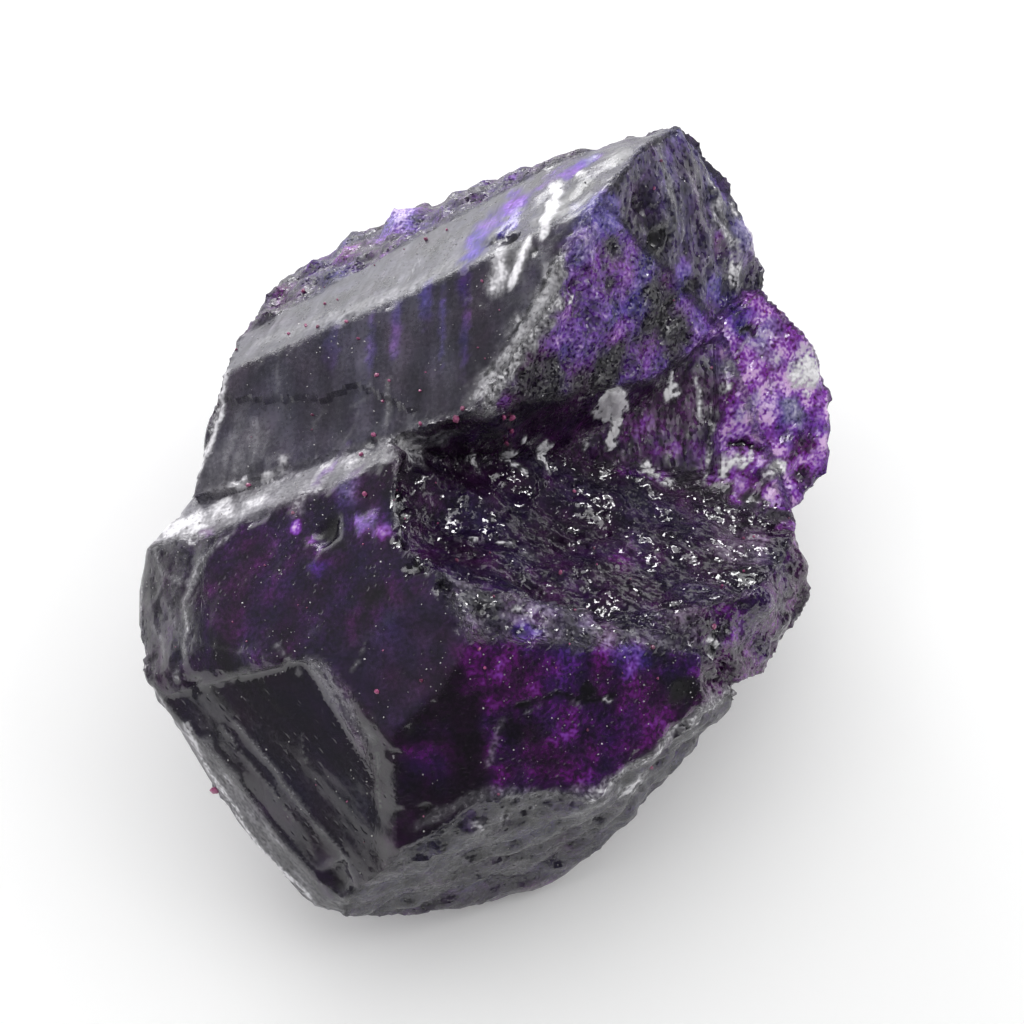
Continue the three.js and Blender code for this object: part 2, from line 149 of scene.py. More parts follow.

# Listed marks. Patches are soft spots where the finish changes: place, radius, then cloud, rose,
# film and sheen, and frost. K keeps what the face has. Two radii draw a patch out along the face's lay.
K = None
MARKED = ("cloud", "rose", "film_and_sheen", "frost")
PATCHES = [
    # back rim and bright face: a violet band, then two white patches, painted highlights of the window,
    # with dark crevices of painted shade
    ((6.8, 21.8, 28.6), (1.6, 0.7), 0.45, 0.05, 0), ((3.6, 20.7, 27.6), (1.7, 0.9), 0.4, 0.2, 0),
    ((1.4, 19.6, 26.8), (2.6, 1.4), 0.8, 0.3, 0, 1), ((-0.7, 17.6, 26.7), (2.4, 1.3), 0.7, 0.3, 0, 1),
    ((-1.3, 15.2, 27.6), (2, 1), 0.6, 0.2, 0, 1), ((-2, 12.2, 28), (1.8, 0.6), 0.35, 0.15, 0),
    ((1, 17, 28), (1.6, 0.7), 0.6, 0.15, 0, 0.3), ((5.6, 21, 28.2), 1.2, 0.6, 0.2, 0, 1),
    ((4, 16.8, 29.5), (3, 1.3), 0.02, 0.1, 0.4, 0.5), ((1, 12.6, 29.5), (2.4, 1.6), 0.02, 0.1, 0.4, 0.5),
    ((6, 20.2, 29.1), 0.5, 0.02, 0.1, 1.1, 0.5), ((6.5, 18.6, 30.1), 0.8, 0.02, 0.1, 0.4, 0.5),
    ((8.6, 21.2, 29.8), 1, 0.05, 0.2, 0.4, 0.5), ((3, 11.4, 30.5), 0.9, 0.05, 0.3, 0.05, 0.3),
    ((-6.8, 22.6, 19), 2.3, 0.85, 0.5, 0.1), ((-11.2, 20.7, 17.6), 1.2, 0.6, 1, 0),
    # wide face
    ((-4.8, 11.4, 26.9), (2.6, 0.6), 0.34, 0.25), ((-2, 8.8, 28.1), (3.6, 0.4), 0.4, 0.2),
    ((-6.9, 9.6, 25.9), (3, 0.5), 0.3, 0.3), ((-3.6, 9.6, 27.4), (2.8, 0.35), 0.34, 0.2),
    ((-8.6, 8.8, 25), (2.6, 0.4), 0.25, 0.4), ((-11.5, 9.4, 23.7), (2, 0.7), 0.22, 0.3),
    ((-18.4, 3, 19.9), (4, 2.6), K, K, 0.36),
    # frosted front; the dark patches low along its edge over the hollow are painted shade
    ((10.6, 14.6, 25.2), 1.6, 0.6, 0.4, 0.1), ((11.3, 12.9, 22.8), 2.6, 0.03, K, 0),
    ((5.6, 6.4, 23.2), 2.6, 0.1, 0.9, 0), ((7.5, 16, 30.6), 2, 0.8, 0.1, 0.12),
    ((6.1, 13.8, 30.8), 1.6, 0.8, 0.2, 0.25), ((8.7, 10.4, 24), 1.4, 0.55, 0.9),
    ((8.2, 14.7, 28.6), 1.1, 0.2, K, 0.25), ((8, 8.4, 22.5), 2, 0.04, K, 0), ((2.8, 5.4, 26), 2.4, 0.06, 0.8, 0),
    ((1.4, 3.5, 24.5), 2.8, 0.05, 0.8, 0),
    # rough right side
    ((16.4, 21.6, 21.6), (2.6, 0.5), 0.1, 0.2, 0.75), ((17.6, 18.9, 18.6), (1.6, 0.6), 0.1, 0.2, 0.9),
    ((12.2, 20.5, 27), (2, 0.4), 0.1, 0.2, 0.6), ((17.3, 22.7, 20.5), (1.6, 0.4), 0.2, 0.4, 0.9),
    ((13, 12.8, 20.1), 2.2, 0.05, K, 0.12), ((12, 13.1, 22), 1.6, 0.05, K, 0.2),
    ((11.5, 17, 25.7), 1.3, 0.05, K, 0.2), ((13.1, 16, 22.7), 0.9, 0.9, 0.15),
    ((17.9, 20.7, 19.1), 1.5, 0.7, 0.4, 0.35), ((15.9, 16.7, 19.3), 1.3, 0.7, 0.2),
    ((16.3, 19.6, 20.8), 1.2, 0.55, 0.85),
    # hollow wall and shelf
    ((10, 7.1, 15.8), 1.3, 0.4, 0.75), ((11.9, 6.2, 15.1), 1.4, 0.35, 0.8),
    # lobe
    ((17.5, 15.6, 17.7), 1.8, 0.55, 0.45, 0), ((20.2, 15.4, 16.1), (1.8, 1.1), 1.3, 0.5, 0.3),
    ((22.9, 13.1, 13.8), (2, 1.5), 2.4, 0.8, 0.8), ((19.8, 13.7, 15.8), 1.3, 1.1, 0.6, 0.35),
    ((16.7, 11.5, 16.8), (1.2, 0.8), 1, 0.6, 0.7), ((21.2, 8.1, 13.1), 1.4, 0.5, 0.65, 0),
    ((21.6, 6.1, 12.1), 1.2, 0.45, 0.95, 0), ((22.8, 7.4, 12), 1.1, 0.3, 0.95, 0),
    ((22.6, 5.6, 11.4), 1, 0.3, 0.95, 0), ((16.9, 5.5, 13.9), (1.4, 0.6), 0.7, K, 1),
    ((20.4, 5.3, 13.2), (1.3, 0.8), 0.9, K, 1), ((21.7, 9.8, 13.5), 1.2, 0.5, 0.3, 0.4),
    ((18.5, 9.5, 15.3), (2.4, 0.5), 1.1, 0.8, 0.3),
    # lower face, with a mark on the hollow wall, a painted highlight of the window, and one on the lobe
    ((-15.8, -14.2, 19.8), (3.5, 0.6), 0.02, 0.6, 0, 0.1), ((-19, -14, 17.6), (2, 0.6), 0.02, 0.6, 0, 0.1),
    ((-8.4, -4.7, 25.5), 1, 0.7, 0.45, 0.1, 0.8), ((8.7, 7.7, 18.9), (2.6, 1), K, K, 0.7, 0.3),
    ((19.3, 4.4, 12.9), (1.2, 0.7), 0.35, 0.95), ((-7, -5.6, 26), 0.9, 0.6, 0.85, 0.1),
    ((-11, -4.9, 24.2), 1.6, 0.03, 0.8, 0, 0.2), ((-11.7, -5.7, 23.9), 0.7, 0.5, 0.7, 0, 0.3),
    ((-7.8, -9.9, 25.8), (1.6, 1), 0.03), ((-13.5, -3.9, 22.9), 0.45, 1.3, 0.85),
    ((-12.4, -4.9, 23.4), 0.4, 1.1, 0.9), ((-11.8, -7.2, 23.8), 0.8, 0.4, 0.3),
    ((-18.1, -12.4, 20), (3, 1), 0.02, 0.6), ((-9.7, -2, 24.8), 1.3, 0.4, 0.5, 0.2),
    # right face
    ((4.3, -14.4, 22.5), 1.8, 0.42, 0.75), ((-0.9, -14.4, 25.4), 2, 0.4, 0.8), ((6, -15, 21), 0.9, 0.02),
    ((12.5, -13.7, 17.9), 1.6, 0.02), ((11.1, -12.2, 19.6), 1.3, 0.08), ((1.7, -17.8, 21.3), 1.5, 0.08),
    ((4.8, -16.9, 20.6), 1.5, 0.4, 0.8), ((2.3, -12.4, 24.6), 1.3, 0.4, 0.3, 0.05),
    # front flat, corner and wall; the wall's pale patches are abrasion bloom and partly painted sheen
    ((-10.8, -25.2, 12.2), 1.7, 0.1, 0.7, 0, 0.15), ((-11.8, -25.3, 10.8), 1.3, 0.1, 0.7, 0, 0.15),
    ((0, -22.4, 16.4), (3, 1), 0.06, 0.3, 0.45), ((6.6, -20.9, 14.9), (2.6, 1), 0.08, 0.3, 0.45),
    ((-3, -23.8, 14.2), (2.6, 0.6), 0.05, 0.3, 0.25), ((9.4, -18.7, 12.6), (2, 1.4), 0.1, 0.2, 0.75),
    ((3.6, -22, 10.6), (2, 1), 0.07, 0.3, 0.3), ((-2, -24.2, 11), (2, 0.8), 0.05, 0.3, 0.25),
    ((13.4, -15.4, 13.2), (1.6, 0.8), 0.07, 0.3, 0.4), ((-4.2, -19.7, 21), 1.8, 0.2, 0.95),
    # band along the valley edge, knob and valley
    ((3, -10.8, 24.4), (2.8, 0.9), 0.3, 0.8, 0.3), ((8.8, -12.4, 20.8), (1.6, 1), 0.5, 0.3, 0.06),
    ((8.8, -13.2, 20.4), 0.9, 0.75, 0.4, 0.02), ((5, -11.2, 23), 1.6, 0.08, 0.8, 0.2),
    ((14.1, 3.9, 13.8), (1.6, 1), 0.06, 0.8, 0.1, 0.5), ((16.3, 3.4, 13.3), (1.8, 1.1), 0.06, 0.8, 0.12, 0.5),
    ((18.4, 2.7, 12.9), (1.8, 1.1), 0.06, 0.9, 0.12, 0.5), ((20.2, 1.8, 12.6), (1.5, 1.2), 0.06, 0.9, 0.1, 0.5),
    ((-1.1, -11, 26.6), 1.6, 0.05, 0.3, 0.22), ((5.6, -10.6, 23), 1.8, 0.12, 0.6, 0.16),
    ((17, -2, 14.8), (2, 0.8), 0.4, 0.9, 0.5), ((14.8, -10.3, 16.6), 1, 0.02, 0.3, 0),
    ((17.9, -4.3, 15.7), 1.4, 0.08, K, 0.12), ((8.7, -3.9, 17.5), 1.3, 0.25, 0.8),
    ((17.5, -0.9, 14.2), 2.2, 0.25, 1, 0.25),
    # seam lip, whitest at its left end, where the pale bloom is partly a painted highlight of the window
    ((-22.9, -1.5, 17.2), (3, 1.6), 0.1, 0.6, 0.95), ((-19.6, -1, 19), (3, 1.5), 0.1, 0.6, 0.9),
    ((-16.2, -0.4, 20.7), (2.6, 1.2), 0.1, 0.6, 0.7), ((-11.8, -0.4, 23.2), (3, 1), 0.2, 0.85, 0.6),
    ((-12.4, -1.6, 22.8), (3.6, 0.5), 0.5, 0.85, 0.2), ((-16, -2.4, 20.9), (2.2, 0.4), 0.5, 0.8, 0.25),
    ((-19.4, -2.8, 19.3), (2.2, 0.5), 0.5, 0.9, 0.3), ((-9.4, -0.9, 24.3), (1.8, 0.5), 0.6, 0.85, 0.25),
    ((-5.6, 1.6, 24.2), 1.8, 0.1, 0.5, 0.9, 0.4), ((-3.6, 2, 24.6), 1.2, 0.1, 0.5, 0.7, 0.4),
]

# Veins, scratches and painted highlights: a path, a width and a rise in millimetres, then film and sheen, and
# cloud where it changes.
VEINS = [
    # wide face: scratches, and the pale bevel along its left edge
    ([(-17.7, 6.7, 20.6), (-17.9, 4.8, 20.3), (-18.4, 3, 19.9), (-18.7, 1.4, 19.6)], 0.28, 0.02, 0.3),
    ([(-15.8, 4.2, 21.2), (-16.5, 3.1, 20.8), (-16.9, 1.6, 20.5)], 0.22, 0.02, 0.3),
    ([(-15.2, 10.1, 22), (-15.3, 8.7, 21.9), (-15.3, 7, 21.8)], 0.19, 0.02, 0.35),
    ([(-7.3, 6.1, 25.5), (-7.4, 4.5, 25.4), (-7.5, 2.3, 25.1)], 0.25, 0.04, 0.5),
    ([(-9.5, 4.1, 24.3), (-9.8, 2.9, 24.1), (-10.4, 2.1, 23.7)], 0.19, 0.02, 0.35),
    ([(-12, 5, 23.2), (-12.8, 3.7, 22.7)], 0.19, 0.02, 0.35),
    ([(-8.6, 6.3, 24.9), (-8.4, 5.4, 24.9), (-10.3, 4.6, 24)], 0.19, 0.02, 0.35),
    ([(-2.2, 11, 28.1), (-1.4, 10.5, 28.5), (-0.6, 9.7, 28.8)], 0.15, 0.02, 0.3),
    ([(-19.2, 9.4, 20.1), (-19.6, 7.5, 19.8), (-20, 5.3, 19.3), (-20.8, 3, 18.7), (-21.7, 0.8, 18),
      (-22.4, -1.2, 17.3)], 0.5, 0, 1),
    # crest bevel: its pale band and dark cracks, then the bright face's white ridges, painted highlights of the
    # window, and two pale edges
    ([(4.2, 11.6, 30.8), (3.7, 9.6, 30.1), (2.7, 8, 29.5), (1.6, 6.3, 29), (0.5, 4.7, 28.4),
      (-0.8, 3.2, 27.6)], 1.45, 0, 0.76, 0.05),
    ([(3.4, 10.7, 30.6), (2.4, 9.2, 30.1), (1.4, 7.6, 29.5), (0.3, 6.2, 29), (-0.5, 4.7, 28.6)], 0.14, -0.1, 0, 0),
    ([(5.2, 14.4, 31.1), (4.4, 12.9, 30.9), (3.6, 11.1, 30.7)], 0.14, -0.1, 0, 0),
    ([(4.2, 19.8, 28.1), (4, 17.8, 29.2), (3.6, 16, 29.8)], 0.75, 0.05, 1.2),
    ([(3.6, 16, 29.8), (3.2, 14.2, 30.3)], 0.4, 0.05, 1),
    ([(0.3, 14, 29), (0.4, 12.3, 29.2), (0.1, 10.8, 29)], 0.8, 0.05, 0.9),
    ([(2.5, 14.6, 29.8), (1.7, 12.6, 29.9), (1, 11, 29.6)], 0.4, 0.1, 1.2),
    ([(-5.8, 1.8, 24.7), (-4.4, 2, 23.8), (-3, 2.2, 25)], 0.5, 0, 0.35),
    ([(-16.9, 12.2, 19.8), (-13.2, 12.3, 22.1), (-9.5, 12.5, 24.2), (-5.9, 13, 26.1),
      (-3.1, 14.3, 27)], 1, 0, 0.5),
    # bevels behind: dark grooves
    ([(-17.7, 15.3, 17.1), (-15.3, 15.8, 18.4), (-12.6, 16.2, 20)], 0.35, -0.08, 0.05),
    ([(-12.2, 12.6, 22.4), (-10.6, 15.4, 21.4)], 0.2, -0.05, 0.08),
    # left end: a net of pale veins
    ([(-18.4, -3.5, 20.4), (-20.5, -5.2, 19.3), (-20.7, -6.7, 19.1), (-21.4, -7.7, 18.7), (-20.7, -9.6, 19),
      (-21.2, -11.2, 18.3), (-21.7, -12.5, 17.1)], 0.3, 0.06, 0.6),
    ([(-23.8, -3.1, 17.1), (-23.2, -4.8, 17.4), (-22.3, -5.5, 18.1), (-20.7, -6.7, 19.1)], 0.26, 0.05, 0.5),
    ([(-22.7, -7, 17.6), (-22.2, -8.5, 17.8), (-21.3, -10.1, 18.4)], 0.3, 0.05, 0.35),
    ([(-23.7, -8.5, 16.4), (-22.8, -10.6, 16.9)], 0.3, 0.05, 0.4),
    ([(-19.4, -4.3, 20), (-20.2, -5.8, 19.5), (-21.4, -7.7, 18.7)], 0.3, 0.05, 0.4),
    ([(-24.6, -5, 15.6), (-24.8, -8, 15), (-24, -11.5, 15.2)], 0.3, 0.04, 0.5),
    # lower crystal
    ([(-14.4, -12.3, 22.5), (-13.4, -13.4, 22.8), (-12.8, -14, 22)], 0.22, 0.04, 0.5),
    ([(-8.4, -12.9, 25), (-8.7, -14, 24.4), (-9.3, -14.7, 23.9)], 0.12, 0.04, 0.6),
    ([(-12.8, -16.9, 19), (-12.8, -18.1, 17.8), (-12.3, -19, 17.2)], 0.09, 0.01, 0.4),
    ([(-17.5, -15.7, 16.8), (-15.2, -18.2, 15.9), (-12.7, -21.3, 14.7), (-10.1, -24.2, 13.6)], 0.26, 0.04, 0.55),
    ([(-18.6, -15.7, 15.9), (-16.3, -18.3, 15), (-13.6, -21.6, 13.6)], 0.14, 0.02, 0.5),
    ([(-16.3, -16.1, 17.2), (-14.2, -18.4, 16.4)], 0.1, 0.02, 0.4),
    ([(-19.8, -16.3, 14.4), (-18.3, -18.1, 13.7), (-16.8, -20, 12.7), (-15.2, -21.9, 11.9)], 0.75, 0.03, 0.45),
    ([(-21.3, -15.1, 14.4), (-19.8, -17.6, 12), (-18.3, -19.6, 10.8), (-15.9, -22.5, 9.3),
      (-12.7, -25.6, 8.8)], 0.6, 0, 0.8),
    ([(-11.9, -13.9, 23.2), (-10.4, -15.6, 22.4), (-8.5, -18.2, 21.5)], 0.9, 0, 0.42),
    ([(-7.6, -19.6, 20.6), (-7.6, -21.5, 18.1), (-8, -23.5, 15.8), (-8.4, -24.8, 14.2)], 1.3, 0, 0, 0.04),
    ([(-7.7, -19.1, 21), (-7.6, -20.5, 19.3), (-7.6, -21.9, 17.9)], 0.1, 0.02, 0.3),
    ([(0.4, -17.4, 22.2), (-0.2, -18.7, 21.1), (-0.5, -19.8, 20.3)], 0.3, 0.04, 0.35),
    ([(1.5, -16.6, 22.5), (3.2, -15.8, 22), (4.3, -15.4, 21.8), (6.2, -15.6, 20.6),
      (7.9, -14.9, 20.1)], 0.3, -0.1, 0, 0.02),
    ([(5.2, -15.7, 21), (6.1, -16.1, 20.4)], 0.12, 0.02, 1),
    ([(1.7, -17, 22.2), (3, -16.3, 22)], 0.1, 0.02, 0.6),
    ([(7.2, -15.1, 20.2), (7.9, -15.3, 19.8)], 0.12, 0.02, 1),
    # front wall: its worn top edge, and white streaks on it
    ([(-4.9, -22.8, 17.6), (-0.5, -21.3, 18.9), (3, -21.2, 17.6), (6.6, -20.6, 16.8)], 0.7, 0, 0.4),
    ([(6.6, -20.6, 16.8), (9.1, -18.8, 16.1), (11.2, -17, 15.8), (14, -14.6, 16),
      (16.7, -12, 13.4)], 0.8, 0, 0.65),
    ([(8.2, -19.6, 16.2), (10.2, -18.1, 15.4), (12.4, -16.2, 14.9)], 0.12, 0.02, 1.2),
    ([(10.6, -17.8, 15.2), (13.2, -15.6, 14.8), (15.4, -13.4, 14)], 0.12, 0.02, 1.2),
    # right side of the upper crystal: branching pale veins
    ([(15.3, 24.6, 23.5), (16.1, 23.2, 22.3), (15.9, 20.8, 22), (17.1, 20.3, 20.1), (17.8, 19.2, 18.4),
      (17.6, 18.1, 17.8)], 0.4, 0.08, 0.75),
    ([(11.8, 22.9, 28.5), (12.4, 21.2, 27.3), (12.1, 19.3, 26.4), (11.4, 17.7, 26.2)], 0.35, 0.06, 0.5),
    ([(12.4, 21.2, 27.3), (13.6, 19.6, 25.2), (13.2, 18.2, 24.2)], 0.3, 0.06, 0.5),
    ([(15.9, 20.8, 22), (14.9, 19, 21.8), (14.7, 17, 20.9)], 0.35, 0.06, 0.45),
    # hollow wall: a fan of silvery streaks, painted highlights of the window in the glossy break
    ([(7.5, 7.1, 20.6), (7.9, 7.3, 18.9), (8, 6.9, 17.3)], 0.38, 0.1, 4),
    ([(8.1, 7.5, 20.8), (8.6, 7.7, 19), (8.7, 7.4, 17)], 0.55, 0.15, 4),
    ([(8.8, 7.8, 20.2), (9.3, 7.9, 18.6), (9.5, 7.8, 17.2)], 0.34, 0.15, 4),
    ([(8.6, 7, 17.6), (8.4, 6.7, 16.4)], 0.5, 0.1, 3),
    ([(10.2, 8.3, 18.6), (10.9, 8.4, 16.8)], 0.35, 0.05, 2),
    ([(6.7, 6.9, 20), (7.4, 6.9, 17.9)], 0.3, 0.05, 1.6),
    # shelf and lobe
    ([(14.8, 12.2, 17.6), (14.7, 10.7, 16.8), (14.9, 8.1, 15.5)], 0.2, 0.1, 0.9),
    ([(16, 9.1, 15.8), (15.8, 7.5, 15.1), (15.4, 5.5, 14.2), (15.2, 3.9, 13.6)], 0.16, 0.2, 1.5),
    ([(18.8, 14.6, 16.8), (17.4, 12.4, 16.9), (16.4, 9.8, 16.2)], 0.2, 0.05, 0.6),
    ([(17, 6.6, 14.4), (18.1, 6.9, 14.3), (19, 6.5, 13.9)], 0.3, -0.3, 0, 0),
    ([(17.7, 14.6, 17.2), (18.6, 15, 16.9)], 0.22, -0.2, 0, 0),
    ([(20.5, 9.4, 14), (21.8, 10.6, 13.6), (24, 11.4, 12.6)], 0.2, -0.12, 0, 0.3),
]

# Pits and knobs: a place, a radius, and a depth in millimetres, which is negative on a knob. Pits are darkened
# inside, painted shade of the hollow.
PITS = [
    ((5.4, 11.1, 29.5), 0.8, 0.45), ((8, 12.6, 27.1), 0.8, 0.3), ((10.3, 18.3, 28.7), 1.1, 0.4),
    ((8.2, 14.8, 28.6), 1, 0.25), ((-11, -4.9, 24.2), 1.5, 0.6), ((-12.5, -4.9, 23.4), 0.6, 0.15),
    ((-8.3, -4.9, 25.5), 1.2, -0.2), ((-6.8, 22.8, 18.8), 2.6, -0.7), ((-11.2, 20.7, 17.6), 1.3, -0.7),
    ((-14.2, 20.6, 15.6), 1, -0.5), ((-2, 23.2, 21.6), 1.2, -0.4), ((0, 15.5, 28.3), 0.6, 0.3),
    ((1.1, 15.4, 28.8), 0.6, 0.35), ((3.4, 17.1, 29.3), 0.3, 0.2), ((2.7, 13.4, 30.2), 0.4, 0.2),
    ((-4.4, -22.1, 18.6), 0.45, 0.1), ((12.5, -13.7, 17.9), 1.3, 0.12), ((-1, -11.3, 26.5), 0.7, 0.25),
    ((2.7, -22, 15.3), 1.1, 0.25), ((1.2, -22.7, 12.6), 0.6, 0.15), ((-1.8, -23.9, 9.4), 1.5, 0.3),
    ((11, -17.4, 13.4), 1.3, 0.4), ((13.9, 15.9, 21.5), 1, 0.4), ((11.5, 17, 25.7), 1.2, 0.4),
    ((12, 13.1, 22), 1.8, 0.5), ((19, 14.8, 16.6), 0.9, 0.2), ((18.1, 6.8, 14.3), 0.8, 0.2),
    ((18.1, -6.4, 16.3), 1.8, -0.5), ((-10.6, -25.2, 12.1), 1.2, 0.5), ((16.2, 23, 22), 1.3, -0.4),
    ((17.9, 20.7, 19.1), 1.4, -0.4), ((15.5, -9.3, 17), 0.9, 0.3),
    # the ragged border between the lower crystal and the valley
    ((-6.6, -1, 25.2), 0.9, 0.7), ((-6.3, -2.7, 24.9), 0.8, 0.8), ((-6.2, -4.4, 25.2), 0.8, 0.6),
    ((-5.8, -6.6, 26), 0.9, 0.8), ((-4.9, -8.8, 27.2), 0.9, 0.6), ((-7.4, -5.8, 25.8), 0.6, -0.3),
    ((-3.2, -10.2, 27.8), 0.8, 0.5), ((2.9, -10.9, 24.4), 0.7, 0.4), ((7.6, -10.4, 22.2), 0.9, 0.5),
]

# Painted glints: white streaks that stand in for the window's reflections in glossy breaks, with a place, half
# lengths along and across the lay, and how white they are.
PAINTED_GLINTS = [
    ((8.2, 6.2, 15.9), (0.8, 0.4), 1.2), ((10.5, 8.8, 17.4), (1.3, 0.35), 1.3),
    ((12.6, 10.1, 16.9), (1.2, 0.55), 1.4), ((11.1, 4.5, 14.5), (1, 0.4), 1.2),
    ((12.2, 3.9, 14.1), (1.2, 0.35), 1.2), ((1, 3.2, 19.3), (2.2, 0.45), 1.5), ((3.5, 4.2, 18), (1.6, 0.6), 1.5),
    ((-1.6, 2.6, 20.6), (1.2, 0.3), 1.2), ((2, 4, 20.9), (0.9, 0.35), 1.3), ((-1.4, -4.2, 21.5), (0.6, 0.2), 0.9),
    ((0.7, -4.2, 20.6), (0.6, 0.2), 0.9), ((2.4, -4.6, 20.3), (0.6, 0.2), 0.9), ((6.4, 5.6, 16.4), (0.6, 0.3), 1.1),
    ((14.9, -9.7, 16.9), (0.9, 0.3), 1.3), ((15, -10.8, 16), (0.8, 0.25), 1.2),
    ((5.3, 10.3, 28.9), (0.5, 0.3), 1.3), ((17.3, 18.5, 18.5), (1.6, 0.4), 1), ((22.8, 13, 13.8), (1.6, 1.1), 1),
    ((18.1, 5.6, 13.8), (1.1, 0.4), 0.9), ((16.7, 5, 13.7), (0.9, 0.4), 1.4), ((16.6, 10.2, 16.2), (0.5, 0.3), 1.2),
    ((20.6, 5.2, 13), (1, 0.3), 1.1), ((1.4, -10.8, 25.2), (0.8, 0.2), 1.1), ((7, -10.9, 22.3), (0.8, 0.2), 0.9),
]

# Growth steps: a path, how far the stone drops on its right-hand side, over what width, and how soon the drop
# fades out again.
STEPS_ON_FACES = [
    ([(-19.6, 7.7, 19.7), (-17.3, 7, 20.8), (-15.4, 6.6, 21.7), (-13.6, 6.2, 22.5), (-11.4, 5.9, 23.5),
      (-9.6, 6.1, 24.4)], 0.35, 0.4, 5.0),
]


def linear(code):
    """A linear RGBA colour from an sRGB hex code."""
    parts = [int(code[i:i + 2], 16) / 255 for i in (1, 3, 5)]
    return [c / 12.92 if c <= 0.04045 else ((c + 0.055) / 1.055) ** 2.4 for c in parts] + [1.0]


def smooth_step(value, low, high):
    """0 at low and 1 at high, with a smooth rise between them."""
    t = np.clip((value - low) / (high - low), 0, 1)
    return t * t * (3 - 2 * t)


def in_field(points, size, seed):
    """The points in units of a noise field's width, and moved to a part of the noise that is its own."""
    return (points / size + 5.3 * (seed + SEED)).tolist()


def lumps(points, size, seed, octaves=2):
    """Smooth noise, mostly from -1 to 1, whose lumps are the given number of millimetres wide."""
    return 1.6 * np.array([noise.fractal(p, 1.0, 2.0, octaves) for p in in_field(points, size, seed)])


def drawn_out(points, along, times):
    """The points with their run in one direction shortened, so that noise read at them is drawn out along it."""
    along = np.array(along, float) / np.linalg.norm(along)
    return points + np.outer(points @ along, along) * (1 / times - 1)


def facets(points, size, seed):
    """The relief of a field of flat tilted fracture facets of the given width."""
    relief = []
    for spot in in_field(points, size, seed):
        middle = noise.voronoi(spot)[1][0]
        lean = noise.cell_vector(middle * 3.7) - Vector((0.5, 0.5, 0.5))
        relief.append(TILT * (Vector(spot) - middle).dot(lean))
    return np.array(relief)


def unit(vectors):
    return vectors / np.maximum(np.linalg.norm(vectors, axis=1, keepdims=True), 1e-9)


def values_of(elements, name, width=1, kind=float):
    """One property of a mesh's vertices, edges or faces, as an array with a row for each of them."""
    values = np.empty(len(elements) * width, kind)
    elements.foreach_get(name, values)
    return values.reshape(-1, width)


def nearest(marks, places):
    """The mark nearest to each place, with its distance in the last column."""
    tree = KDTree(len(marks))
    for i, mark in enumerate(marks):
        tree.insert(mark, i)
    tree.balance()
    return np.array([(*mark, away) for mark, _, away in map(tree.find, places.tolist())])


# Carving
# -------
class Surface:
    """The stone's surface while it is carved: places in millimetres, the share of each face, and finishes."""

    def __init__(self, mesh, solid):
        self.places = values_of(mesh.vertices, "co", 3)
        self.edges = values_of(mesh.edges, "vertices", 2, int)
        self.neighbours = np.bincount(self.edges.ravel(), minlength=len(self.places))
        self.height = np.zeros(len(self.places))
        self.finish = {}
        self.lay_on(solid)

    def average(self, values, rounds, pull=1.0):
        """The values with each one drawn towards the mean of its neighbours, a few times over."""
        values = values.reshape(len(self.neighbours), -1).astype(float)
        first, second = self.edges.T
        for _ in range(rounds):
            for column in values.T:
                total = np.bincount(first, column[second], len(column))
                total += np.bincount(second, column[first], len(column))
                column += (total / self.neighbours - column) * pull
        return values if values.shape[1] > 1 else values[:, 0]

    def lay_on(self, solid):
        """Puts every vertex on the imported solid, snaps those near a crease onto it, and shares out the faces."""
        tree = BVHTree.FromBMesh(solid)
        found = [tree.find_nearest(p) for p in self.places.tolist()]
        self.places = np.array([f[0] for f in found])
        facet = np.array([f[2] for f in found])
        self.normals = np.array([f[1] for f in found])
        self.snap_to_creases(solid)
        self.share_out_faces(solid, tree, facet)

    def snap_to_creases(self, solid):
        """Snaps the vertices beside a crease onto it, and measures how far each one is from a sharp edge."""
        step, reach = 0.1, 0.17     # between marks along a crease, and how near to one a vertex is snapped
        every, sharp = [], []
        for edge in solid.edges:
            turn = edge.calc_face_angle_signed(0)
            if abs(turn) > CREASE:
                first, last = (v.co for v in edge.verts)
                cuts = max(2, int(edge.calc_length() / step))
                marks = [first.lerp(last, i / cuts) for i in range(cuts + 1)]
                every += marks
                if turn > 0:
                    sharp += marks
        marks = nearest(every, self.places)
        beside = marks[:, 3] < reach
        self.places[beside] = marks[beside, :3]
        self.from_edge = nearest(sharp, self.places)[:, 3]

    def share_out_faces(self, solid, tree, facet):
        """Gives each facet of the solid to the named face it lies in, then each vertex its share of each face."""
        planes = [(number, *(np.array(part) for part in tree.find_nearest(place)[:2]))
                  for number, places in enumerate(FACES.values()) for place in places]
        owner = np.empty(len(solid.faces), int)
        for i, f in enumerate(solid.faces):
            middle, normal = np.array(f.calc_center_median()), np.array(f.normal)
            costs = []
            for _, spot, plane in planes:
                # a turn of 12 degrees counts as a millimetre off the plane or ten along it
                turn = math.degrees(math.acos(np.clip(normal @ plane, -1, 1)))
                gap = middle - spot
                costs.append(turn / 12 + abs(gap @ plane) + 0.1 * np.linalg.norm(gap))
            owner[i] = planes[int(np.argmin(costs))][0]
        self.share = {name: self.average(owner[facet] == number, 1) for number, name in enumerate(FACES)}

    def add_finish(self, name, values):
        self.finish[name] = self.finish.get(name, 0) + values

    def mix_finish(self, name, here, value, share):
        """Draws a finish towards a value at some vertices."""
        kept = self.finish[name][here]
        self.finish[name][here] = kept + (value - kept) * share


def read_solid():
    """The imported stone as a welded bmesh, in millimetres."""
    solid = bmesh.new()
    solid.from_mesh(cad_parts[STONE].data)
    bmesh.ops.remove_doubles(solid, verts=solid.verts, dist=WELD)
    bmesh.ops.scale(solid, vec=(1 / MM, 1 / MM, 1 / MM), verts=solid.verts)
    solid.normal_update()
    solid.faces.ensure_lookup_table()
    return solid


